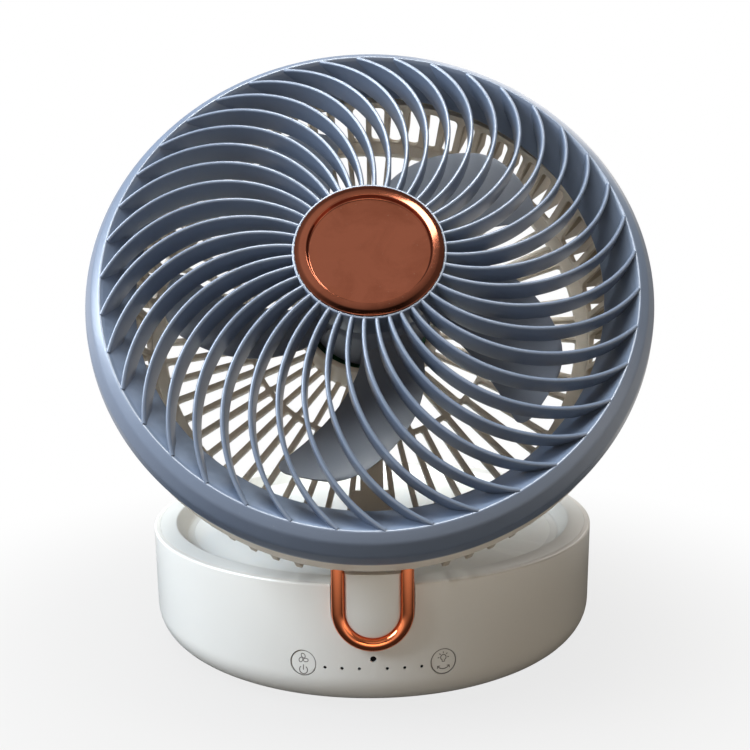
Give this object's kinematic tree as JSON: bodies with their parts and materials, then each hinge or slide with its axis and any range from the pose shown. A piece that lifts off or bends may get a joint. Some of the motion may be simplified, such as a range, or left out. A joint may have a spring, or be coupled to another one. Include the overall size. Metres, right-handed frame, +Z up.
{
  "type": "portable camping fan",
  "caption": "Folding table fan: a round vaned head with a copper hub cap, hinged on a copper-trimmed U arm over a white battery base with a lamp dish and push buttons.",
  "frame": {"origin": "on the floor under the base's axis, in the middle of the rubber foot's underside", "axes": "+Z up; the front, with the buttons and the arm, faces -Y; +X is to the right seen from behind the -Y front, that is the viewer's right"},
  "size_m": [0.2112, 0.2364, 0.2536],
  "materials": {
    "rubber_black": "matt",
    "white_shell": "semi-gloss",
    "white_inner": "satin",
    "diffuser": "milky satin",
    "cream": "satin",
    "grey_blue": "satin",
    "slate": "satin",
    "copper_plate": "plated, polished",
    "copper_wire": "enamelled",
    "bronze": "sintered",
    "steel": "satin",
    "magnet": "matt",
    "board": "satin",
    "black_plastic": "matt",
    "lamp_yellow": "satin",
    "clear": "frosted",
    "cell_wrap": "shrink wrap",
    "fan_white": "semi-gloss"
  },
  "bodies": {
    "foot": {"foot_pad": "rubber_black", "foot_disc": "white_inner", "pivot_post": "white_inner", "thrust_washer": "cream", "sun_gear": "white_inner", "retaining_washer": "steel", "pivot_screw": "steel"},
    "base": {"base_shell": "white_shell", "top_cover": "white_shell", "lamp_diffuser": "diffuser", "lamp_board": "board", "lamp_chips": "lamp_yellow", "cover_screws": "steel", "hinge_arm": "white_shell", "arm_trim": "copper_plate", "arm_screws": "steel", "hinge_pin": "steel", "friction_washers": "steel", "main_board": "board", "tact_switches": "black_plastic", "indicator_pipes": "clear", "receiver_window": "black_plastic", "battery_cells": "cell_wrap", "battery_tray": "black_plastic", "charge_port": "steel", "port_board": "board", "swing_motor": "steel"},
    "drive": {"drive_shaft": "steel", "drive_gear": "white_inner"},
    "power_key": {"power_button": "fan_white"},
    "light_key": {"light_button": "fan_white"},
    "head": {"rear_shroud": "cream", "motor_cover": "cream", "motor_board": "board", "bearing_tube": "bronze", "rear_bearing": "bronze", "front_bearing": "bronze", "motor_stator": "steel", "motor_windings": "copper_wire", "front_grille": "grey_blue", "grille_cap": "copper_plate", "grille_screws": "steel"},
    "rotor": {"rotor_can": "steel", "magnet_ring": "magnet", "motor_shaft": "steel", "impeller": "slate", "impeller_nut": "steel"}
  },
  "joints": [
    {"name": "swing", "type": "hinge", "parent": "foot", "child": "base", "pos_m": [0, 0, 0.006], "axis": [0, 0, 1], "range_deg": [-40, 40]},
    {"name": "head_tilt", "type": "hinge", "parent": "base", "child": "head", "pos_m": [0, -0.101, 0.061], "axis": [1, 0, 0], "range_deg": [-60, 45]},
    {"name": "impeller_spin", "type": "hinge", "parent": "head", "child": "rotor", "pos_m": [0, -0.08681, 0.16598], "axis": [0, -0.8721, 0.4894], "continuous": true},
    {"name": "power_press", "type": "slide", "parent": "base", "child": "power_key", "axis": [0.2554, 0.9668, 0], "range_m": [0, 0.0006], "stiffness_N_per_m": 600},
    {"name": "light_press", "type": "slide", "parent": "base", "child": "light_key", "axis": [-0.2554, 0.9668, 0], "range_m": [0, 0.0006], "stiffness_N_per_m": 600},
    {"name": "drive_spin", "type": "hinge", "parent": "base", "child": "drive", "pos_m": [0.032, 0, 0.0095], "axis": [0, 0, 1], "range_deg": [-125, 125]}
  ],
  "couplings": [
    {"joint": "drive_spin", "follows": "swing", "ratio": 3}
  ]
}
